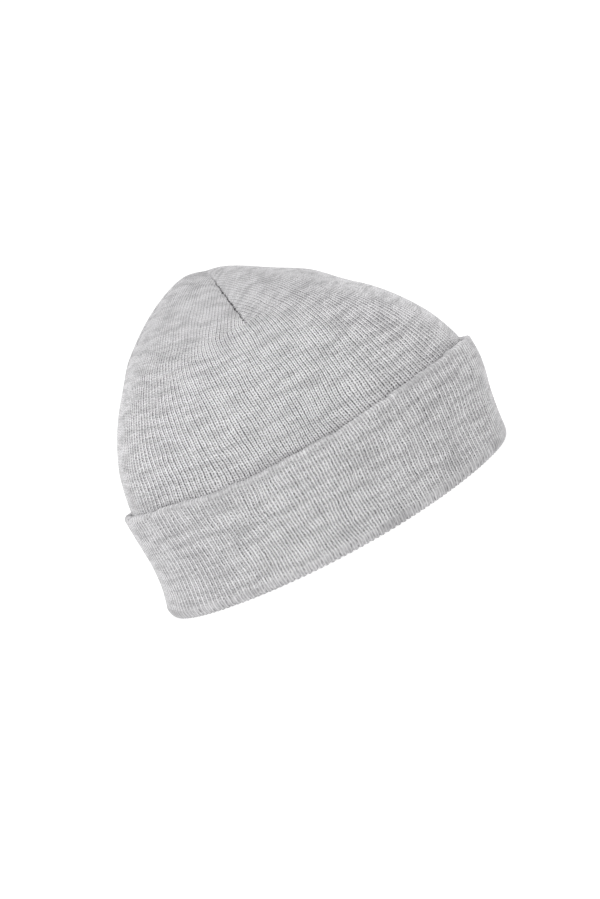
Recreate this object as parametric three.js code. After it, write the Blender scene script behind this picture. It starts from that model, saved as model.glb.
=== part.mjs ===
// Knit cap of fine ribbed knit: a domed crown closed by four darts, and a wide turned-up cuff.
// Millimetres, +Z up. The cap stands on its rim at z = 0, the forehead is at -Y and the nape at +Y.
import * as THREE from "three";
import { ParametricGeometry } from "three/addons/geometries/ParametricGeometry.js";

// Cloth
const WALL = 3.0; // two layers of rib knit, one inside the other
const GAP = 0.4; // between the crown's leg and the cuff at the rim
const GREY = 0xc3c2c4;

// Darts that close the top
const DARTS = 4; // one each at the forehead, nape and both sides
const DART_LENGTH = 0.33; // share of the way from the top to the rim
const SEAM_DEPTH = 2.2;
const SEAM_HALF_WIDTH = 2.8;
const SHALLOWEST = 0.1; // share of the seam's depth left where the darts meet at the top
const PANEL_FULLNESS = 1.2; // how far each panel swells between its seams
const PUCKER_HEIGHT = 0.9; // the bump where a dart runs out
const PUCKER_RADIUS = 9;

// Plan
const DIAGONAL_PINCH = 0.025; // how much narrower than an ellipse the rim is at its diagonals

// Mesh
const COLUMNS = 64;
const CROWN_OUTER_ROWS = 22;
const CROWN_INNER_ROWS = 18;
const CUFF_ROWS = 9;
const LIP_ROWS = 4;
const TOP_CROWDING = 1.25; // over 1 sets the crown's rows closer together near the top
const STEP = 1e-3; // for slopes, as a share of the way round or down

// Outer face of the crown, from the closed top down to where it lies close inside the cuff.
// front, back and side: distance from the axis. frontZ, backZ and sideZ: height of the same point.
const CROWN = [
  { front: -2.4, frontZ: 159.2, back: 2.4, backZ: 159.2, side: 0, sideZ: 159.2 },
  { front: 12, frontZ: 153, back: 15, backZ: 161.8, side: 21.5, sideZ: 154.3 },
  { front: 27.3, frontZ: 144.6, back: 32.5, backZ: 156, side: 35, sideZ: 146.3 },
  { front: 46.6, frontZ: 133.6, back: 48.8, backZ: 146.6, side: 49, sideZ: 134.3 },
  { front: 58.6, frontZ: 121.9, back: 62.3, backZ: 135.3, side: 58.5, sideZ: 122.2 },
  { front: 74.3, frontZ: 108.5, back: 74, backZ: 122.4, side: 68, sideZ: 108.6 },
  { front: 86.7, frontZ: 94.3, back: 84.3, backZ: 109, side: 75.5, sideZ: 94.2 },
  { front: 96.8, frontZ: 78.9, back: 92.5, backZ: 94.6, side: 80.5, sideZ: 78.5 },
  { front: 103.6, frontZ: 62.5, back: 98.6, backZ: 78.8, side: 83.2, sideZ: 61.8 },
  { front: 105.7, frontZ: 52, back: 102.9, backZ: 53, side: 84, sideZ: 48 },
];

// Outer face of the cuff, from the middle of its rounded top edge down to the rim.
const CUFF = [
  { front: 109.8, frontZ: 58, back: 107, backZ: 58, side: 88, sideZ: 58 },
  { front: 110.2, frontZ: 48, back: 106.7, backZ: 48, side: 87.6, sideZ: 48 },
  { front: 109, frontZ: 38, back: 106.2, backZ: 38, side: 87.4, sideZ: 38 },
  { front: 106.8, frontZ: 28, back: 106, backZ: 28, side: 87.3, sideZ: 28 },
  { front: 105, frontZ: 16, back: 107.2, backZ: 16, side: 87.6, sideZ: 16 },
  { front: 104, frontZ: 5, back: 110, backZ: 5, side: 88.1, sideZ: 5 },
];

// The cuff's top edge isn't turned up quite evenly. rise: how far it stands over the first row above.
// turn: degrees round from the left side, even steps, with the forehead at 90 and the nape at 270.
const EDGE = [
  { turn: 0, rise: 0.1 },
  { turn: 30, rise: -0.8 },
  { turn: 60, rise: -2.6 },
  { turn: 90, rise: -2 },
  { turn: 120, rise: 1.9 },
  { turn: 150, rise: 2.2 },
  { turn: 180, rise: 0.5 },
  { turn: 210, rise: 0.2 },
  { turn: 240, rise: 3 },
  { turn: 270, rise: 1.7 },
  { turn: 300, rise: -2 },
  { turn: 330, rise: -0.3 },
];

// The crown's leg lies against the lowest rows of the cuff, down to the rim.
const LEG = CUFF.slice(3).map((row) => ({
  ...row,
  front: row.front - WALL - GAP,
  back: row.back - WALL - GAP,
  side: row.side - WALL - GAP,
}));

// Half of the folded rim. depth: in from its rounded face. z: height there.
const FOLD = [
  { depth: 0, z: 5 },
  { depth: 0.25, z: 2.9 },
  { depth: 0.9, z: 1.1 },
  { depth: 1.7, z: 0 },
  { depth: 2.7, z: 0 },
  { depth: WALL, z: 0.4 },
];

// A smooth line through the named columns, read by its share of the length.
function line(sections, reach, height) {
  return new THREE.SplineCurve(sections.map((s) => new THREE.Vector2(s[reach], s[height])));
}

function lines(sections) {
  return {
    front: line(sections, "front", "frontZ"),
    back: line(sections, "back", "backZ"),
    side: line(sections, "side", "sideZ"),
  };
}

// A point on the oval through the three lines at one share of their length.
// angle 0 is the left side (+X), a quarter turn is the forehead and three quarters the nape.
function ovalPoint(faces, share, angle, pinch) {
  const front = faces.front.getPointAt(share);
  const back = faces.back.getPointAt(share);
  const side = faces.side.getPointAt(share);
  const across = Math.cos(angle);
  const along = Math.sin(angle);
  const plan = 1 - pinch * Math.sin(2 * angle) ** 2;
  const middle = (back.x - front.x) / 2;
  const reach = (back.x + front.x) / 2;
  const endHeight = (front.y + back.y) / 2 + (along * (front.y - back.y)) / 2;
  return new THREE.Vector3(
    side.x * across * plan,
    middle - reach * along * plan,
    side.y * across ** 2 + endHeight * along ** 2,
  );
}

// The direction out of the cloth at a point of a face.
function outward(face, share, angle) {
  const down = Math.min(share + STEP, 1);
  const up = Math.max(share - STEP, STEP / 2);
  const around = face(share, angle + STEP).sub(face(share, angle - STEP));
  const along = face(down, angle).sub(face(up, angle));
  return around.cross(along).normalize();
}

const smooth = (from, to, value) => THREE.MathUtils.smoothstep(value, from, to);

// How far the crown's cloth stands off its plain dome: seams sink, panels swell, dart ends pucker.
function crownRelief(share, angle, radius) {
  const seamDistance = (radius * Math.abs(Math.sin((DARTS / 2) * angle))) / (DARTS / 2);
  const towardsTop = SHALLOWEST + (1 - SHALLOWEST) * smooth(0.02, 0.18, share);
  const seamFade = towardsTop * (1 - smooth(0.8 * DART_LENGTH, 1.02 * DART_LENGTH, share));
  const seam = -SEAM_DEPTH * seamFade * Math.exp(-((seamDistance / SEAM_HALF_WIDTH) ** 2));
  const swell = smooth(0, 0.12, share) * (1 - smooth(0.25, 0.6, share));
  const panel = PANEL_FULLNESS * swell * Math.sin((DARTS / 2) * angle) ** 2;
  const fromTip = Math.hypot(seamDistance, (share - DART_LENGTH) * crownLines.side.getLength());
  const pucker = PUCKER_HEIGHT * Math.exp(-((fromTip / PUCKER_RADIUS) ** 2));
  return seam + panel + pucker;
}

const crownLines = lines([...CROWN, ...LEG]);
const cuffLines = lines(CUFF);
const edgeLine = new THREE.CatmullRomCurve3(
  EDGE.map((e) => new THREE.Vector3(e.turn, e.rise)),
  true,
  "catmullrom",
);
const cuffBand = (share, angle) => {
  const point = ovalPoint(cuffLines, share, angle, DIAGONAL_PINCH);
  point.z += (1 - share) ** 2 * edgeLine.getPoint(angle / (2 * Math.PI)).y;
  return point;
};
const crownDome = (share, angle) => {
  // Round near the top, pinched like the cuff where they meet
  return ovalPoint(crownLines, share, angle, DIAGONAL_PINCH * smooth(0, 0.7, share));
};

// A point of the crown's cloth, so deep under its outer face.
function crownPoint(share, angle, depth) {
  const point = crownDome(share, angle);
  const relief = crownRelief(share, angle, crownLines.side.getPointAt(share).x);
  // At the very top the cloth lies level
  const out = share > 0 ? outward(crownDome, share, angle) : new THREE.Vector3(0, 0, 1);
  return point.addScaledVector(out, relief - depth);
}

// A point of the cuff's cloth, so deep under its outer face and so far above it.
function cuffPoint(share, angle, depth, rise) {
  const out = outward(cuffBand, share, angle);
  const point = cuffBand(share, angle).addScaledVector(out, -depth);
  point.z += rise;
  return point;
}

// A point of the folded rim, level with the table, moved in from the face that ends there.
function rimPoint(face, share, angle, depth, z) {
  const out = outward(face, share, angle).setZ(0).normalize();
  return face(share, angle).addScaledVector(out, -depth).setZ(z);
}

// A closed skin: rows of points, each a function of the angle, joined into one loop.
function skin(rows) {
  const loop = [...rows, rows[0]];
  const at = (u, v, target) => {
    const row = loop[Math.round(v * rows.length)];
    target.copy(row((u % 1) * 2 * Math.PI));
  };
  return new ParametricGeometry(at, COLUMNS, rows.length);
}

function mesh(name, geometry) {
  const material = new THREE.MeshStandardMaterial({ color: GREY, roughness: 0.95, metalness: 0 });
  const made = new THREE.Mesh(geometry, material);
  made.name = name;
  return made;
}

const shares = (count, crowding) =>
  Array.from({ length: count + 1 }, (_, i) => (i / count) ** crowding);

// Crown: down the outside, round the rim with its rounded face inside, and up the inside
const outerShares = shares(CROWN_OUTER_ROWS, TOP_CROWDING);
const innerShares = shares(CROWN_INNER_ROWS, TOP_CROWDING).reverse();
const crownRows = [
  ...outerShares.map((share) => (angle) => crownPoint(share, angle, 0)),
  ...FOLD.slice(1).reverse().map((f) => (angle) => {
    return rimPoint(crownDome, 1, angle, WALL - f.depth, f.z);
  }),
  ...innerShares.map((share) => (angle) => crownPoint(share, angle, WALL)),
];

// Cuff: down the outside, round the rim with its rounded face outside, up the inside and over the lip
const cuffShares = shares(CUFF_ROWS, 1);
const lipRows = Array.from({ length: LIP_ROWS - 1 }, (_, i) => {
  const turn = ((i + 1) * Math.PI) / LIP_ROWS;
  const depth = (WALL / 2) * (1 + Math.cos(turn));
  const rise = (WALL / 2) * Math.sin(turn);
  return (angle) => cuffPoint(0, angle, depth, rise);
});
const cuffRows = [
  ...cuffShares.map((share) => (angle) => cuffPoint(share, angle, 0, 0)),
  ...FOLD.slice(1).map((f) => (angle) => rimPoint(cuffBand, 1, angle, f.depth, f.z)),
  ...cuffShares.toReversed().map((share) => (angle) => cuffPoint(share, angle, WALL, 0)),
  ...lipRows,
];

const cap = new THREE.Group();
cap.add(mesh("crown", skin(crownRows)));
cap.add(mesh("cuff", skin(cuffRows)));

export default cap;
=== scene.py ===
import math
from collections import namedtuple
from functools import partial

import bmesh
import bpy
import numpy as np
from bpy.props import FloatProperty, FloatVectorProperty, IntProperty, PointerProperty
from mathutils import Matrix, Vector


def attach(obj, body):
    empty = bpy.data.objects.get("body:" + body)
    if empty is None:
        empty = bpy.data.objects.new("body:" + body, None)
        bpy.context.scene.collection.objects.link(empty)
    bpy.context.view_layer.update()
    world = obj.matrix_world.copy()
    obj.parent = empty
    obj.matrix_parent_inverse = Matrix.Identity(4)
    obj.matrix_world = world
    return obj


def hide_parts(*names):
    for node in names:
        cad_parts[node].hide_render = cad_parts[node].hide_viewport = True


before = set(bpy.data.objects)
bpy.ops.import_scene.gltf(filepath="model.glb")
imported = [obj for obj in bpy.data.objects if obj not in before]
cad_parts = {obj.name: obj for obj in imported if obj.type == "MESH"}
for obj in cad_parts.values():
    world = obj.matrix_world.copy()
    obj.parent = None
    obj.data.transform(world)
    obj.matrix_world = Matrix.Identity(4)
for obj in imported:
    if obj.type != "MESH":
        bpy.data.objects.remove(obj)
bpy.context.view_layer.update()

bl_info = {
    "name": "Knit Cap",
    "version": (1, 0, 0),
    "blender": (4, 5, 0),
    "location": "View3D > Sidebar > Knit Cap",
    "description": "A ribbed knit cap with a turned-up cuff, on a pale studio floor",
    "category": "Add Mesh",
}

# The shapes below are worked out in millimetres, and meshes are in metres.
MM = 0.001

# The sections of the solids, from the top down, that the knitted surfaces follow.
# front, back and side are distances from the axis, and the other three the heights of the same points.
Section = namedtuple("Section", "front front_z back back_z side side_z")
CROWN = [
    Section(-2.4, 159.2, 2.4, 159.2, 0, 159.2),
    Section(12, 153, 15, 161.8, 21.5, 154.3),
    Section(27.3, 144.6, 32.5, 156, 35, 146.3),
    Section(46.6, 133.6, 48.8, 146.6, 49, 134.3),
    Section(58.6, 121.9, 62.3, 135.3, 58.5, 122.2),
    Section(74.3, 108.5, 74, 122.4, 68, 108.6),
    Section(86.7, 94.3, 84.3, 109, 75.5, 94.2),
    Section(96.8, 78.9, 92.5, 94.6, 80.5, 78.5),
    Section(103.6, 62.5, 98.6, 78.8, 83.2, 61.8),
    Section(105.7, 52, 102.9, 53, 84, 48),
]
CUFF = [
    Section(109.8, 58, 107, 58, 88, 58),
    Section(110.2, 48, 106.7, 48, 87.6, 48),
    Section(109, 38, 106.2, 38, 87.4, 38),
    Section(106.8, 28, 106, 28, 87.3, 28),
    Section(105, 16, 107.2, 16, 87.6, 16),
    Section(104, 5, 110, 5, 88.1, 5),
]
WALL = 3.0
GAP = 0.4
DIAGONAL_PINCH = 0.025
LEG = [
    s._replace(front=s.front - WALL - GAP, back=s.back - WALL - GAP, side=s.side - WALL - GAP)
    for s in CUFF[3:]
]

# How far the cuff's top edge stands over its first section, every 30 degrees round from the left side
EDGE_RISE = [0.1, -0.8, -2.6, -2, 1.9, 2.2, 0.5, 0.2, 3, 1.7, -2, -0.3]

# Half of the folded rim: how far in from its rounded face, and the height there
FOLD = [(0, 5), (0.25, 2.9), (0.9, 1.1), (1.7, 0.1), (2.6, 0), (WALL + GAP / 2, 0.3)]

# How much thicker than the wall the cuff's folded top edge is, and how much more for each millimetre that it
# rises. Inside the cuff this fades out over a share of the way to the rim, and so do the bumps outside.
LIP_FULLNESS = 1.4
LIP_FULLNESS_EACH_RISE = 0.17
LIP_FADE = 0.13
BUMP_HEIGHT = 0.17
BUMP_FADE = 0.15

# How far the folded rim rises between the ends of two ribs
RIM_NOTCH = 0.9

# The four darts part the crown into panels. Along a dart the cloth sinks to its seam, with a narrow crease
# that sways from side to side, and it puckers where the dart runs out.
PANELS = 4
SEAM_HALF_WIDTH = 2.8
CREASE_DEPTH = 0.7
CREASE_HALF_WIDTH = 0.6
SEAM_SWAY = 0.25
SEAM_SWAY_LENGTH = 8.5
SEAM_SWAY_HALF_WIDTH = 4
PUCKER_HEIGHT = 0.9
PUCKER_RADIUS = 9

# Share of the seam's depth that is left where the darts meet
SHALLOWEST = 0.1

# How far past the darts' ends the marks of the seams reach, as a share of the way from the top to the rim
PAST_DART = 0.01

# Share of the way from the top to the rim where the cuff begins to hide the crown
UNDER_CUFF = 0.72

# Shares of a rib's width at which it has a column of points, and the heights there: 0 on its crests, -1 at
# the bottom of the valley between two ribs. RIB_PROUD is the share of a rib that stands out of the solid.
COLUMNS_EACH_RIB = (0, 0.12, 0.3, 0.5, 0.7, 0.88)
CROWN_RIB = (-1, -0.6, 0, -0.15, 0, -0.6)
CUFF_RIB = (-0.85, -0.75, 0, -0.2, 0, -0.75)
RIB_PROUD = 0.25

# Ribs that lie closer together than the first are flatter, and so are ribs within the second of a seam
FULL_RIB_PITCH = 2.8
FLAT_BY_SEAM = 1.2

# Numbers of rows of points, and how much closer together those of the crown get towards its top
DART_ROWS = 34
PANEL_ROWS = 24
HIDDEN_ROWS = 7
CROWN_INNER_ROWS = 16
CUFF_ROWS = 27
CUFF_INNER_ROWS = 15
LIP_ROWS = 11
TOP_CROWDING = 1.15
INNER_TOP_CROWDING = 1.2

# How much the courses of stitches bow between two seams
COURSE_BOW = 0.325

# Layers that the materials read. KNIT_UV holds rib and course numbers. DART_UV holds the distance from the
# nearest seam, and the share of the way down: 0 to 1 on the crown and 1 to 2 on the cuff, far from any seam.
KNIT_UV = "knit"
DART_UV = "dart"
CUFF_SHARE_FROM = 1
FAR_FROM_SEAM = 99


class KnitSettings(bpy.types.PropertyGroup):
    ribs_each_panel: IntProperty(
        name="Ribs in a panel", description="Ribs between two darts, below the darts", default=46, min=8)
    rib_height: FloatProperty(
        name="Rib height", description="From the valley between two ribs to their crests",
        default=0.00065, min=0, unit="LENGTH")
    course_height: FloatProperty(
        name="Course height", description="Height of one row of stitches",
        default=0.00135, min=0.0003, unit="LENGTH")
    dart_length: FloatProperty(
        name="Dart length", description="Share of the way from the top to the rim that a dart runs",
        default=0.33, min=0.05, max=0.6, subtype="FACTOR")
    seam_depth: FloatProperty(
        name="Seam depth", description="How deep a dart's seam lies in the crown",
        default=0.0022, min=0, unit="LENGTH")
    panel_fullness: FloatProperty(
        name="Panel fullness", description="How far a panel swells between two seams",
        default=0.0012, min=0, unit="LENGTH")


class YarnSettings(bpy.types.PropertyGroup):
    yarn: FloatVectorProperty(
        name="Yarn", description="Colour of the pale grey yarn", subtype="COLOR",
        size=3, default=(0.835, 0.828, 0.841), min=0, max=1)
    gap: FloatVectorProperty(
        name="Gap", description="Colour of the shaded gaps between stitches", subtype="COLOR",
        size=3, default=(0.1, 0.097, 0.102), min=0, max=1)
    marl: FloatProperty(
        name="Marl", description="How much darker the darkest flecks of the yarn are",
        default=0.4, min=0, max=1, subtype="FACTOR")
    # seam: colour of the painted shade deep in the darts' seams
    seam: FloatVectorProperty(
        name="Seam", description="Colour deep in the seams of the darts", subtype="COLOR",
        size=3, default=(0.03, 0.029, 0.031), min=0, max=1)


class StudioSettings(bpy.types.PropertyGroup):
    distance: FloatProperty(
        name="Distance", description="From the middle of the cap to the camera",
        default=1.24, min=0.3, unit="LENGTH")
    azimuth: FloatProperty(
        name="Azimuth", description="Turn of the camera round the cap, from straight ahead",
        default=math.radians(263), unit="ROTATION")
    elevation: FloatProperty(
        name="Elevation", description="How far the camera looks down",
        default=math.radians(9), unit="ROTATION")
    roll: FloatProperty(
        name="Roll", description="Turn of the camera about its own line of sight",
        default=math.radians(28.3), unit="ROTATION")
    lens: FloatProperty(
        name="Lens", description="Focal length on a 36 mm sensor", default=89.6, min=10, unit="CAMERA")
    room_light: FloatProperty(
        name="Room light", description="Strength of the soft light from all round", default=0.8, min=0)
    back_light: FloatProperty(
        name="Back light", description="Power of the large low light behind the cap",
        default=5.8, min=0, unit="POWER")
    top_light: FloatProperty(
        name="Top light", description="Power of the large light above the cap",
        default=12.5, min=0, unit="POWER")


def smoothstep(low, high, value):
    """0 up to low, 1 from high on and smooth between."""
    t = np.clip((value - low) / (high - low), 0, 1)
    return t * t * (3 - 2 * t)


def near(distance, reach):
    """1 on a line, and less and less away from it."""
    return np.exp(-((distance / reach) ** 2))


def smooth_between(before, start, end, after, w):
    """A smooth curve from start to end, at the share w between them, that suits the points on either side."""
    slope_in = (end - before) / 2
    slope_out = (after - start) / 2
    cubic = 2 * start - 2 * end + slope_in + slope_out
    square = -3 * start + 3 * end - 2 * slope_in - slope_out
    return ((cubic * w + square) * w + slope_in) * w + start


class Line:
    """A smooth line through points, read by its share of the length."""

    READINGS = 800

    def __init__(self, points):
        self.points = np.array(points, float)
        places = np.linspace(0, 1, self.READINGS)
        steps = np.hypot(*np.diff(self.spline(places), axis=0).T)
        reached = np.concatenate([[0], np.cumsum(steps)])
        self.length = reached[-1]
        self.reached = reached / self.length
        self.places = places

    def spline(self, place):
        last = len(self.points) - 1
        position = place * last
        first = np.minimum(position.astype(int), last - 1)
        around = (self.points[np.clip(first + k, 0, last)] for k in (-1, 0, 1, 2))
        return smooth_between(*around, (position - first)[..., None])

    def at(self, share):
        return self.spline(np.interp(share, self.reached, self.places))


def edge_rise(angle):
    """The rise of the cuff's top edge at an angle: a smooth closed line through the listed heights."""
    place = np.asarray(angle) / (2 * np.pi) * len(EDGE_RISE)
    first = np.floor(place).astype(int)
    around = (np.take(EDGE_RISE, first + k, mode="wrap") for k in (-1, 0, 1, 2))
    return smooth_between(*around, place - first)


class Oval:
    """A wall whose level sections are ovals through three lines: front, back and side."""

    STEP = 1e-3

    def __init__(self, sections, pinch, rise=lambda angle: 0):
        self.rise = rise
        self.front = Line([(s.front, s.front_z) for s in sections])
        self.back = Line([(s.back, s.back_z) for s in sections])
        self.side = Line([(s.side, s.side_z) for s in sections])
        self.pinch = pinch

    def point(self, share, angle):
        share, angle = np.broadcast_arrays(share, angle)
        front, back, side = (line.at(share) for line in (self.front, self.back, self.side))
        across = np.cos(angle)
        along = np.sin(angle)
        plan = 1 - self.pinch(share) * np.sin(2 * angle) ** 2
        middle = (back[..., 0] - front[..., 0]) / 2
        reach = (back[..., 0] + front[..., 0]) / 2
        end_height = (front[..., 1] + back[..., 1]) / 2 + along * (front[..., 1] - back[..., 1]) / 2
        return np.stack([
            side[..., 0] * across * plan,
            middle - reach * along * plan,
            side[..., 1] * across**2 + end_height * along**2 + (1 - share) ** 2 * self.rise(angle),
        ], axis=-1)

    def outward(self, share, angle):
        down = np.minimum(share + self.STEP, 1)
        up = np.maximum(share - self.STEP, self.STEP / 2)
        around = self.point(share, angle + self.STEP) - self.point(share, angle - self.STEP)
        normal = np.cross(around, self.point(down, angle) - self.point(up, angle))
        return normal / np.maximum(np.linalg.norm(normal, axis=-1, keepdims=True), 1e-9)


crown_oval = Oval(CROWN + LEG, lambda share: DIAGONAL_PINCH * smoothstep(0, 0.7, share))
cuff_oval = Oval(CUFF, lambda share: DIAGONAL_PINCH, edge_rise)

# How the ribs spread between a dart and the middle of a panel, at the dart's end, the lower crown and the rim
SPREAD_AT_TIP = 0.05
SPREAD_LOWER = -0.17
SPREAD_AT_RIM = -0.05

# How the ribs run out into the seams on the way up: evenly at 1, and mostly near the top below 1
RIBS_TO_TOP = 0.65


def rib_spread(share, knit):
    tip = knit.dart_length
    lower = SPREAD_AT_TIP + (SPREAD_LOWER - SPREAD_AT_TIP) * smoothstep(tip, tip + 0.32, share)
    return lower + (SPREAD_AT_RIM - SPREAD_LOWER) * smoothstep(0.7, 1, share)


def ribs_left(share, knit):
    """Ribs from a panel's middle to its seam: all of them below the dart, fewer and fewer above."""
    above = np.clip(share / knit.dart_length, 0, 1)
    return knit.ribs_each_panel / 2 * above**RIBS_TO_TOP


def rib_angle(ribs, share, panel, knit, spread):
    """Where round the crown a rib lies. ribs is its number from the middle of its panel."""
    half = np.pi / PANELS
    from_seam = 1 - np.clip(np.abs(ribs) / np.maximum(ribs_left(share, knit), 1e-6), 0, 1)
    turn = half * (from_seam + spread * np.sin(np.pi * from_seam) / np.pi)
    return (2 * panel + 1) * half + np.sign(ribs) * (half - turn)


# The waves that the ribs wander in: how many go round, their length down the cap in millimetres, and where
# they start. A wave is as wide as this share of its length. The cuff reads the waves from this far down.
WAVE_WIDTH = 0.0045
CUFF_WAVES_FROM = 100
chance = np.random.RandomState(11)
WAVES = [
    (count, length, chance.uniform(0, 2 * np.pi))
    for count, length in zip((5, 8, 12, 17, 23, 31), (60, -45, 33, -26, 21, -16))
]

# Nearer to the axis than these, ribs and seams turn no further than at them
WANDER_LEAST_RADIUS = 30
SWAY_LEAST_RADIUS = 10

# How far from a seam the ribs wander freely, and the share of their waves that is left at it
FREE_FROM_SEAM = 8
FREE_AT_SEAM = 0.5


def side_wave(angle):
    """1 in the middle of the right side and -1 in the middle of the left, 0 at the forehead and nape."""
    return -np.sign(np.cos(angle)) * np.abs(np.cos(angle)) ** 0.6


def cuff_lean(share, angle):
    """How far the cuff's ribs swing forward from top edge to rim, as a turn about the axis."""
    forward = (1.5 * share - 4.75 * share**2 + 0.44) * side_wave(angle)
    return np.radians(forward - 1.25 * (share**2 - 0.25) * np.sin(2 * angle))


def crown_lean(share, angle, knit):
    """How the crown's ribs draw together below the darts, then follow the cuff's down to the rim."""
    tip = knit.dart_length
    drawn = (np.clip(share, 0, 0.66) - 0.5) * smoothstep(tip - 0.03, tip + 0.04, share)
    lower = np.radians(-17 * np.sin(2 * angle) - 8 * np.cos(3 * angle)) * drawn
    to_rim = smoothstep(0.68, 0.95, share)
    return lower + (cuff_lean(1, angle) - lower) * to_rim


def wander(angle, way, radius):
    """Small uneven waves of the ribs from side to side, as a turn about the axis."""
    turn = 0
    for count, length, start in WAVES:
        turn = turn + abs(length) * np.cos(count * angle + 2 * np.pi * way / length + start)
    return WAVE_WIDTH * turn / np.maximum(radius, WANDER_LEAST_RADIUS)


def edge_bumps(angle):
    """Small bumps along the cuff's top edge, in millimetres: the sum of a few waves."""
    waves = ((9, 1), (16, 4), (25, 2), (38, 5), (59, 3))
    return BUMP_HEIGHT * sum(np.cos(count * angle + start) for count, start in waves)


def rib_profile(fraction, heights):
    """Height at a share of a rib's width."""
    return np.interp(fraction, (*COLUMNS_EACH_RIB, 1), (*heights, heights[0]))


def rib_and_fraction(column):
    """The number of the rib that a column of points is on, with the share of its width, and that share."""
    each = len(COLUMNS_EACH_RIB)
    fraction = np.array(COLUMNS_EACH_RIB)[column % each]
    return column // each + fraction, fraction


def rim_height(rim, fraction):
    """Height of the folded rim, which is notched between two ribs."""
    return rim + RIM_NOTCH * (1 - np.sin(np.pi * fraction))


def level_at_rim(out, at_rim):
    """The directions out of the cloth, turned level at the rim."""
    out[at_rim, 2] = 0
    return out / np.linalg.norm(out, axis=-1, keepdims=True)


def new_object(name, bm):
    mesh = bpy.data.meshes.new(name)
    bm.to_mesh(mesh)
    bm.free()
    mesh.polygons.foreach_set("use_smooth", [True] * len(mesh.polygons))
    made = bpy.data.objects.new(name, mesh)
    bpy.context.scene.collection.objects.link(made)
    return made


def knit_sheet(bm, columns, rows, place):
    """Adds a grid to bm, and moves each of its vertices to the place of its column and row.
    place takes arrays of column and row numbers, and gives points and the coordinates in both layers."""
    layers = [bm.loops.layers.uv.get(name) or bm.loops.layers.uv.new(name) for name in (KNIT_UV, DART_UV)]
    made = bmesh.ops.create_grid(bm, x_segments=columns, y_segments=rows, size=0.5)["verts"]
    flat = np.array([v.co for v in made])
    column = np.rint((flat[:, 0] + 0.5) * columns).astype(int)
    row = np.rint((flat[:, 1] + 0.5) * rows).astype(int)
    points, *coordinates = place(column, row)
    for vertex, point in zip(made, points * MM):
        vertex.co = point
    number = {vertex: i for i, vertex in enumerate(made)}
    for face in {f for v in made for f in v.link_faces}:
        for loop in face.loops:
            for layer, values in zip(layers, coordinates):
                loop[layer].uv = values[number[loop.vert]]


def close_and_turn_out(bm):
    bmesh.ops.remove_doubles(bm, verts=bm.verts, dist=1e-6)
    bmesh.ops.dissolve_degenerate(bm, edges=bm.edges, dist=1e-7)
    bmesh.ops.recalc_face_normals(bm, faces=bm.faces)


def crown_relief(share, angle, seam_distance, knit):
    """How far the cloth stands off the plain dome: seams sink, panels swell and dart ends pucker."""
    tip = knit.dart_length
    fade = 1 - smoothstep(0.8 * tip, 1.02 * tip, share)
    fade = fade * (SHALLOWEST + (1 - SHALLOWEST) * smoothstep(0.02, 0.18, share))
    seam = -knit.seam_depth / MM * fade * near(seam_distance, SEAM_HALF_WIDTH)
    seam = seam - CREASE_DEPTH * fade * near(seam_distance, CREASE_HALF_WIDTH)
    swell = smoothstep(0, 0.12, share) * (1 - smoothstep(0.25, 0.6, share))
    panel = knit.panel_fullness / MM * swell * np.sin(PANELS / 2 * angle) ** 2
    from_tip = np.hypot(seam_distance, (share - tip) * crown_oval.side.length)
    return seam + panel + PUCKER_HEIGHT * near(from_tip, PUCKER_RADIUS)


def crown_rows(knit):
    """(share, depth, height at the rim or nan) of each row: down the outside, round the rim, up inside.
    The rows are closest along the darts and near the top, and wide apart where the cuff hides them."""
    tip = knit.dart_length
    outside = np.concatenate([
        tip * np.linspace(0, 1, DART_ROWS) ** TOP_CROWDING,
        np.linspace(tip, UNDER_CUFF, PANEL_ROWS)[1:],
        np.linspace(UNDER_CUFF, 1, HIDDEN_ROWS)[1:],
    ])
    rows = [(share, 0, np.nan) for share in outside]
    rows += [(1, WALL - depth, z) for depth, z in reversed(FOLD)]
    rows += [(share, WALL, np.nan) for share in np.linspace(1, 0, CROWN_INNER_ROWS) ** INNER_TOP_CROWDING]
    return np.array(rows)


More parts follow.
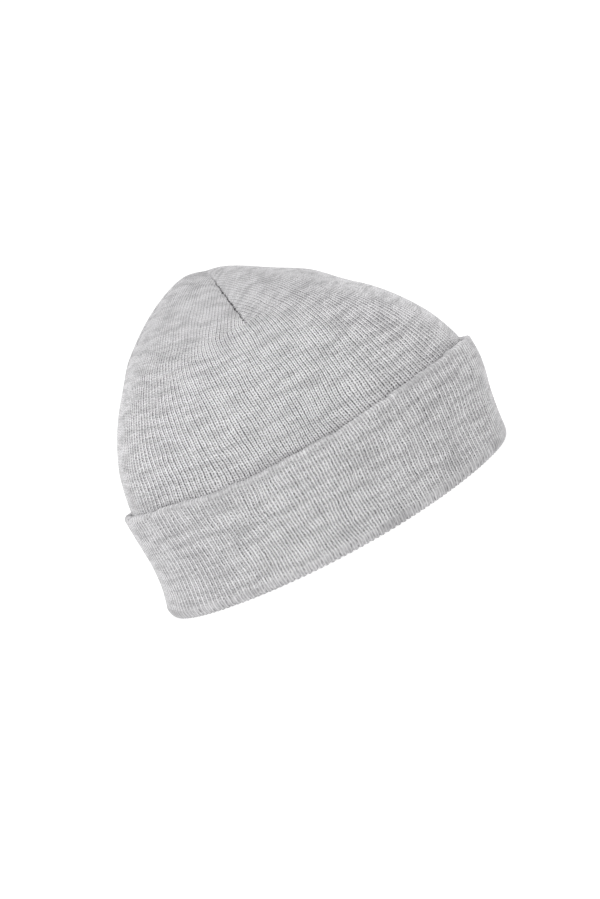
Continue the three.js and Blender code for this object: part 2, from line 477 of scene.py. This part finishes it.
def crown_place(knit, rows, panel, column, row):
    """Points of a panel of the crown, and their coordinates in both layers."""
    tip = knit.dart_length
    half_ribs = knit.ribs_each_panel / 2
    share, depth, rim = rows[row].T
    left = ribs_left(share, knit)
    number, fraction = rib_and_fraction(column)
    number = np.clip(number - half_ribs, -left, left)
    way = share * crown_oval.side.length
    radius = crown_oval.side.at(share)[..., 0]

    # Where round the crown: free to wander in the panels, held at the seams, which sway a little
    angle = rib_angle(number, share, panel, knit, rib_spread(share, knit))
    angle = angle + crown_lean(share, angle, knit)
    seam_distance = radius * np.abs(np.sin(PANELS / 2 * angle)) / (PANELS / 2)
    along_dart = share < tip + PAST_DART
    free = seam_distance / FREE_FROM_SEAM + smoothstep(tip, tip + 0.07, share)
    free = np.clip(free, FREE_AT_SEAM, 1)
    angle = angle + free * wander(angle, way, radius)
    swaying = near(seam_distance, SEAM_SWAY_HALF_WIDTH) * along_dart
    sway = SEAM_SWAY * np.cos(2 * np.pi * way / SEAM_SWAY_LENGTH) * swaying
    angle = angle + sway / np.maximum(radius, SWAY_LEAST_RADIUS)

    # Ribs flatten towards the closed top, at the seams and where the cuff hides them
    pitch = radius * np.pi / PANELS / np.maximum(left, 1e-6)
    open_ribs = np.clip(pitch / FULL_RIB_PITCH, 0, 1)
    off_seam = 1 - near(seam_distance, FLAT_BY_SEAM) * along_dart
    hidden = smoothstep(UNDER_CUFF - 0.02, UNDER_CUFF + 0.06, share) * (depth < WALL / 2)
    height = knit.rib_height / MM * open_ribs * off_seam * (1 - hidden)
    profile = rib_profile(number % 1, CROWN_RIB)
    inside = depth > WALL / 2
    ribs = np.where(inside, -1 - profile, profile + RIB_PROUD) * height

    at_rim = np.isfinite(rim)
    out = crown_oval.outward(share, angle)
    out[share < 1e-6] = (0, 0, 1)
    out = level_at_rim(out, at_rim)
    relief = crown_relief(share, angle, seam_distance, knit)
    lift = np.where(at_rim, -depth, relief - depth + ribs)
    points = crown_oval.point(share, angle) + out * lift[:, None]
    points[at_rim, 2] = rim_height(rim, fraction)[at_rim]

    # Courses are counted from the top down the outside, then on up the inside
    way = np.where(depth > 0, 2 * crown_oval.side.length - way, way)
    fan = 1 - smoothstep(tip - 0.03, tip + 0.12, share)
    from_middle = angle - (2 * panel + 1) * np.pi / PANELS
    bow = COURSE_BOW * radius**2 / np.maximum(way, 1) * from_middle**2 * fan
    course = (way - bow) / (knit.course_height / MM)
    rib = number + half_ribs + panel * knit.ribs_each_panel
    return points, np.stack([rib, course], -1), np.stack([seam_distance, share], -1)


class KNITCAP_OT_crown(bpy.types.Operator):
    """Knit the crown: a ribbed dome closed by four darts, hollow inside, down to the folded rim"""

    bl_idname = "knitcap.crown"
    bl_label = "Crown"

    def execute(self, context):
        knit = context.scene.knit_cap_knit
        rows = crown_rows(knit)
        columns = knit.ribs_each_panel * len(COLUMNS_EACH_RIB)
        bm = bmesh.new()
        for panel in range(PANELS):
            knit_sheet(bm, columns, len(rows) - 1, partial(crown_place, knit, rows, panel))
        close_and_turn_out(bm)
        crown = new_object("knit_crown", bm)
        crown.data.materials.append(knit_material("crown_knit", CROWN_LOOK))
        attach(crown, "root")
        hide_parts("crown")
        return {"FINISHED"}


def cuff_rows():
    """(share, depth, share of the lip's fullness in the depth, rise above the oval, height at the rim or nan,
    turn of the surface from facing out, in radians) of each row: down the outside, round the rim, up the
    inside and over the lip, which is fuller than the wall."""
    rows = [(share, 0, 0, 0, np.nan, 0) for share in np.linspace(0, 1, CUFF_ROWS)]
    rows += [(1, depth, 0, 0, z, 0) for depth, z in FOLD[1:]]
    for share in np.linspace(1, 0, CUFF_INNER_ROWS):
        rows.append((share, WALL, 1 - smoothstep(0, LIP_FADE, share), 0, np.nan, np.pi))
    for turn in np.linspace(np.pi, 0, LIP_ROWS)[1:]:
        inward = (1 - np.cos(turn)) / 2
        rows.append((0, WALL * inward, inward, WALL / 2 * np.sin(turn), np.nan, turn))
    return np.array(rows)


def cuff_place(knit, rows, column, row):
    """Points of the cuff, and their coordinates in both layers."""
    share, depth, fuller, rise, rim, turned = rows[row].T
    rib, fraction = rib_and_fraction(column)
    panel = np.minimum(rib // knit.ribs_each_panel, PANELS - 1)
    number = rib - (panel + 0.5) * knit.ribs_each_panel
    way = share * cuff_oval.side.length

    angle = rib_angle(number, 1, panel, knit, SPREAD_AT_RIM)
    angle = angle + cuff_lean(share, angle)
    angle = angle + wander(angle, way + CUFF_WAVES_FROM, cuff_oval.side.at(0)[0])

    at_rim = np.isfinite(rim)
    out = level_at_rim(cuff_oval.outward(share, angle), at_rim)
    shown = 1 - smoothstep(WALL / 2, WALL, depth)
    depth = depth + fuller * (LIP_FULLNESS + LIP_FULLNESS_EACH_RISE * edge_rise(angle))
    ribs = (rib_profile(fraction, CUFF_RIB) + RIB_PROUD) * shown * knit.rib_height / MM
    points = cuff_oval.point(share, angle) + out * (ribs * np.cos(turned) - depth)[:, None]
    bumps = edge_bumps(angle) * (1 - smoothstep(0, BUMP_FADE, share))
    points[:, 2] += rise + ribs * np.sin(turned) + bumps
    points[at_rim, 2] = rim_height(rim, fraction)[at_rim]

    course = (way + depth) / (knit.course_height / MM)
    seam_distance = np.full_like(share, FAR_FROM_SEAM)
    return points, np.stack([rib, course], -1), np.stack([seam_distance, share + CUFF_SHARE_FROM], -1)


class KNITCAP_OT_cuff(bpy.types.Operator):
    """Knit the cuff: a stretched band of the same ribs, turned up from the rim to its rounded top edge"""

    bl_idname = "knitcap.cuff"
    bl_label = "Cuff"

    def execute(self, context):
        knit = context.scene.knit_cap_knit
        rows = cuff_rows()
        columns = PANELS * knit.ribs_each_panel * len(COLUMNS_EACH_RIB)
        bm = bmesh.new()
        knit_sheet(bm, columns, len(rows) - 1, partial(cuff_place, knit, rows))
        close_and_turn_out(bm)
        cuff = new_object("knit_cuff", bm)
        cuff.data.materials.append(knit_material("cuff_knit", CUFF_LOOK))
        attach(cuff, "root")
        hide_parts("cuff")
        return {"FINISHED"}


# In shares of a rib. strand: from a rib's middle to each of its two strands. width: how far a strand's
# unshaded light
# reaches to either side. gap, centre: how dark the painted shade is in the gap between ribs and on the line
# between strands.
# dots: how far that line of painted shade is broken up by the stitches. courses: how dark the painted shade
# is between two courses.
CROWN_LOOK = {"strand": 0.25, "width": 0.19, "gap": 1.05, "centre": 0.83, "dots": 0.7, "courses": 0.2}
CUFF_LOOK = {"strand": 0.24, "width": 0.135, "gap": 0.8, "centre": 0.72, "dots": 0.35, "courses": 0.1}

# Where the knit is drawn flat and close: how much of its pattern of painted shade is left, and the even
# painted shade there
PATTERN_WHERE_CLOSE = 0.34
SHADE_WHERE_CLOSE = 0.38


class Nodes:
    """Short calls for the nodes of one material."""

    def __init__(self, name):
        self.material = bpy.data.materials.new(name)
        self.material.use_nodes = True
        self.tree = self.material.node_tree
        self.shader = self.tree.nodes["Principled BSDF"]

    def new(self, kind, **settings):
        node = self.tree.nodes.new(kind)
        for key, value in settings.items():
            setattr(node, key, value)
        return node

    def wire(self, value, socket):
        if isinstance(value, bpy.types.NodeSocket):
            self.tree.links.new(value, socket)
        else:
            socket.default_value = value

    def math(self, operation, *values):
        node = self.new("ShaderNodeMath", operation=operation)
        for value, socket in zip(values, node.inputs):
            self.wire(value, socket)
        return node.outputs[0]

    def plus(self, first, second):
        return self.math("ADD", first, second)

    def minus(self, first, second):
        return self.math("SUBTRACT", first, second)

    def times(self, first, second):
        return self.math("MULTIPLY", first, second)

    def between(self, share, at_zero, at_one):
        """A number that goes from at_zero to at_one as the share goes from 0 to 1."""
        return self.plus(at_zero, self.times(share, at_one - at_zero))

    def from_half(self, value):
        """How far the part of a number after its point is from a half."""
        return self.math("ABSOLUTE", self.minus(self.math("FRACT", value), 0.5))

    def ramp(self, value, low, high):
        """0 at low and 1 at high, smooth between."""
        node = self.new("ShaderNodeMapRange", interpolation_type="SMOOTHSTEP")
        self.wire(value, node.inputs["Value"])
        node.inputs["From Min"].default_value = low
        node.inputs["From Max"].default_value = high
        return node.outputs["Result"]

    def mix(self, share, first, second):
        """A colour that goes from the first to the second as the share goes from 0 to 1."""
        node = self.new("ShaderNodeMix", data_type="RGBA")
        self.wire(share, node.inputs[0])
        self.wire(first, node.inputs[6])
        self.wire(second, node.inputs[7])
        return node.outputs[2]

    def noise(self, x, y, detail, z=0.0):
        """Noise whose patches are about 1 wide in x and y. Each z gives other patches."""
        place = self.new("ShaderNodeCombineXYZ")
        for value, socket in zip((x, y, z), place.inputs):
            self.wire(value, socket)
        node = self.new("ShaderNodeTexNoise")
        self.wire(place.outputs[0], node.inputs["Vector"])
        node.inputs["Scale"].default_value = 1
        node.inputs["Detail"].default_value = detail
        return node.outputs["Fac"]

    def layer(self, name):
        """Both coordinates of a layer."""
        split = self.new("ShaderNodeSeparateXYZ")
        self.wire(self.new("ShaderNodeUVMap", uv_map=name).outputs["UV"], split.inputs[0])
        return split.outputs["X"], split.outputs["Y"]


def stitches(n, rib, course, look):
    """Ribs of knit stitches: two strands that lean together in each rib, with a dotted line of painted shade
    between them, and a gap of painted shade with random darker spots to the next rib. Gives their height, the
    uneven course, and their painted shade."""
    # A little unevenness in where the stitches lie
    drift = n.minus(n.noise(n.times(rib, 0.5), n.times(course, 0.35), 1), 0.5)
    shifted = n.plus(rib, n.times(drift, 0.2))
    step = n.minus(n.noise(n.times(rib, 0.9), n.times(course, 0.18), 1, z=7.0), 0.5)
    course = n.plus(course, n.times(step, 2.4))

    across = n.from_half(shifted)
    from_strand = n.math("ABSOLUTE", n.minus(across, look["strand"]))
    strand = n.minus(1.0, n.ramp(from_strand, 0.02, look["width"]))
    in_gap = n.ramp(across, look["strand"], look["strand"] + 0.04)
    plump = n.ramp(n.from_half(n.plus(course, n.times(across, 2.4))), 0.5, 0.15)
    beads = n.ramp(n.from_half(course), 0.5, 0.1)
    height = n.times(strand, n.between(plump, 0.6, 1.0))

    # Painted shade on the line between the strands, in the gap to the next rib and between courses. No two
    # ribs are alike
    speck_noise = n.noise(n.times(rib, 5.5), n.times(course, 1.8), 0)
    rib_shade_depth = n.between(n.ramp(n.noise(rib, n.times(course, 0.06), 1), 0.3, 0.7), 0.82, 1.18)
    dotted = n.times(n.between(beads, 1 - look["dots"], 1.0), look["centre"])
    gap_shade = n.times(n.between(n.ramp(speck_noise, 0.38, 0.68), 0.4, 1.2), look["gap"])
    gap_shade = n.times(gap_shade, rib_shade_depth)
    depth = n.plus(dotted, n.times(in_gap, n.minus(gap_shade, dotted)))
    sunk = n.times(n.minus(1.0, strand), depth)
    between_courses = n.times(n.minus(1.0, plump), look["courses"])
    return height, course, n.math("MAXIMUM", sunk, between_courses)


def drawn_close(n, shade, share, streaks, tip):
    """The painted shade, more even where the knit is drawn flat and close: over the crown's top, and on the
    cuff along its top edge, at the share 1, and at its rim, at the share 2."""
    below_darts = n.ramp(share, tip - 0.13, tip + 0.1)
    uneven = n.plus(share, n.times(n.minus(streaks, 0.5), 0.16))
    on_crown = n.math("LESS_THAN", share, 0.999)
    below_edge = n.math("MAXIMUM", n.ramp(uneven, 0.96, 1.05), on_crown)
    above_rim = n.between(n.ramp(share, 1.95, 2.0), 1.0, 0.4)
    shown = n.times(n.times(below_darts, below_edge), above_rim)
    pattern = n.between(shown, PATTERN_WHERE_CLOSE, 1.0)
    return n.plus(n.times(shade, pattern), n.times(n.minus(1.0, pattern), SHADE_WHERE_CLOSE))


def seam_shade(n, seam_distance, share, rib, tip):
    """Painted shade deep in a dart's seam, where the cloth sinks into its crease: broken up by the stitches
    into short dark bits with paler ones between, fainter towards the top.
    """
    tufts = n.noise(n.times(share, 190.0), n.times(rib, 0.8), 1)
    ragged = n.plus(seam_distance, n.times(n.minus(tufts, 0.5), 2.2))
    in_seam = n.times(n.minus(1.0, n.ramp(ragged, 0.05, 0.7)), 0.9)
    reach = n.times(n.ramp(share, 0.02, 0.17), n.minus(1.0, n.ramp(share, tip - 0.01, tip + 0.015)))
    beside = n.times(reach, n.minus(1.0, n.ramp(seam_distance, 0.4, 1.1)))
    return n.times(in_seam, beside)


def knit_material(name, look):
    """Marl yarn in ribs of knit stitches, with painted shade between the stitches and in the seams of the
    darts.
    """
    yarn = bpy.context.scene.knit_cap_yarn
    tip = bpy.context.scene.knit_cap_knit.dart_length
    n = Nodes(name)
    rib, course = n.layer(KNIT_UV)
    seam_distance, share = n.layer(DART_UV)
    height, course, shade = stitches(n, rib, course, look)

    # Marl: dark flecks that lie along the courses, and single stitches of darker yarn
    streaks = n.noise(n.times(rib, 0.14), n.times(course, 0.4), 3)
    flecks = n.noise(n.times(rib, 1.6), n.times(course, 1.6), 2)
    marl = n.plus(n.times(n.ramp(streaks, 0.32, 0.62), 0.55), n.times(n.ramp(flecks, 0.3, 0.7), 0.35))
    dark = tuple(c * (1 - yarn.marl) for c in yarn.yarn)
    fibre = n.mix(marl, (*dark, 1), (*yarn.yarn, 1))

    # Painted shade: the gap colour where the stitches' shade falls, more even where the knit is drawn close
    knitted = n.mix(drawn_close(n, shade, share, streaks, tip), fibre, (*yarn.gap, 1))
    # Painted shade in the creases of the darts' seams, in the seam colour
    colour = n.mix(seam_shade(n, seam_distance, share, rib, tip), knitted, (*yarn.seam, 1))
    n.wire(colour, n.shader.inputs["Base Color"])

    bump = n.new("ShaderNodeBump")
    bump.inputs["Strength"].default_value = 0.6
    bump.inputs["Distance"].default_value = 0.0004
    n.wire(height, bump.inputs["Height"])
    n.wire(bump.outputs["Normal"], n.shader.inputs["Normal"])
    n.shader.inputs["Roughness"].default_value = 0.95
    n.shader.inputs["Specular IOR Level"].default_value = 0.2
    n.shader.inputs["Sheen Weight"].default_value = 0.1
    n.shader.inputs["Sheen Roughness"].default_value = 0.5
    return n.material


# The studio, in metres: half the floor's width, where the lamps stand, how wide they are and what they face,
# and what the camera looks at
FLOOR_HALF_WIDTH = 30
LAMPS = {"back_light": (-0.8, 1.25, 0.4), "top_light": (-0.4, -0.1, 1.5)}
LAMP_WIDTH = 1.1
LAMPS_FACE = Vector((0, 0, 0.07))
AIM = Vector((0, 0.00335, 0.0471))

# The backdrop is just past white to the eye, and the floor's own glow makes it nearly as bright
BACKDROP = 1.05
FLOOR_GLOW = 0.72


class KNITCAP_OT_stage(bpy.types.Operator):
    """Set the cap on a plain pale floor, in soft light, with the camera at its side"""

    bl_idname = "knitcap.stage"
    bl_label = "Stage"

    def execute(self, context):
        studio = context.scene.knit_cap_studio
        bm = bmesh.new()
        bmesh.ops.create_grid(bm, x_segments=1, y_segments=1, size=FLOOR_HALF_WIDTH)
        floor = new_object("floor", bm)
        n = Nodes("floor_white")
        n.shader.inputs["Base Color"].default_value = (0.5, 0.5, 0.5, 1)
        n.shader.inputs["Roughness"].default_value = 0.9
        n.shader.inputs["Specular IOR Level"].default_value = 0
        n.shader.inputs["Emission Color"].default_value = (1, 1, 1, 1)
        n.shader.inputs["Emission Strength"].default_value = FLOOR_GLOW
        floor.data.materials.append(n.material)

        # The camera sees the backdrop at one strength, and the cap is lit by it at another
        world = bpy.data.worlds.new("studio")
        world.use_nodes = True
        tree = world.node_tree
        background = tree.nodes["Background"]
        background.inputs["Color"].default_value = (1, 1, 1, 1)
        seen = tree.nodes.new("ShaderNodeLightPath").outputs["Is Camera Ray"]
        strength = tree.nodes.new("ShaderNodeMapRange")
        strength.inputs["To Min"].default_value = studio.room_light
        strength.inputs["To Max"].default_value = BACKDROP
        tree.links.new(seen, strength.inputs["Value"])
        tree.links.new(strength.outputs["Result"], background.inputs["Strength"])
        context.scene.world = world

        for name, place in LAMPS.items():
            light = bpy.data.lights.new(name, "AREA")
            light.energy = getattr(studio, name)
            light.size = LAMP_WIDTH
            lamp = bpy.data.objects.new(name, light)
            lamp.location = place
            lamp.rotation_euler = (LAMPS_FACE - lamp.location).to_track_quat("-Z", "Y").to_euler()
            context.scene.collection.objects.link(lamp)

        turn = studio.azimuth
        flat = math.cos(studio.elevation)
        toward = Vector((flat * math.sin(turn), -flat * math.cos(turn), math.sin(studio.elevation)))
        data = bpy.data.cameras.new("camera")
        data.lens = studio.lens
        data.sensor_width = 36
        data.clip_start = 0.01
        data.clip_end = 100
        camera = bpy.data.objects.new("camera", data)
        facing = toward.to_track_quat("Z", "Y").to_matrix().to_4x4()
        rolled = facing @ Matrix.Rotation(-studio.roll, 4, "Z")
        camera.matrix_world = Matrix.Translation(AIM + toward * studio.distance) @ rolled
        context.scene.collection.objects.link(camera)
        context.scene.camera = camera

        context.scene.view_settings.view_transform = "Standard"
        return {"FINISHED"}


class KNITCAP_PT_sidebar(bpy.types.Panel):
    """The cap's pieces and their settings"""

    bl_label = "Knit Cap"
    bl_idname = "KNITCAP_PT_sidebar"
    bl_space_type = "VIEW_3D"
    bl_region_type = "UI"
    bl_category = "Knit Cap"

    def draw(self, context):
        for operator in OPERATORS:
            self.layout.operator(operator.bl_idname)
        for settings, _ in SETTINGS:
            group = getattr(context.scene, settings)
            for name in group.bl_rna.properties.keys():
                if name not in ("rna_type", "name"):
                    self.layout.prop(group, name)


SETTINGS = (
    ("knit_cap_knit", KnitSettings),
    ("knit_cap_yarn", YarnSettings),
    ("knit_cap_studio", StudioSettings),
)
OPERATORS = (KNITCAP_OT_crown, KNITCAP_OT_cuff, KNITCAP_OT_stage)


def register():
    for name, settings in SETTINGS:
        bpy.utils.register_class(settings)
        setattr(bpy.types.Scene, name, PointerProperty(type=settings))
    for made in (*OPERATORS, KNITCAP_PT_sidebar):
        bpy.utils.register_class(made)


def unregister():
    for made in (KNITCAP_PT_sidebar, *reversed(OPERATORS)):
        bpy.utils.unregister_class(made)
    for name, settings in reversed(SETTINGS):
        delattr(bpy.types.Scene, name)
        bpy.utils.unregister_class(settings)


def main():
    register()
    bpy.ops.knitcap.crown()
    bpy.ops.knitcap.cuff()
    bpy.ops.knitcap.stage()


if __name__ == "__main__":
    main()
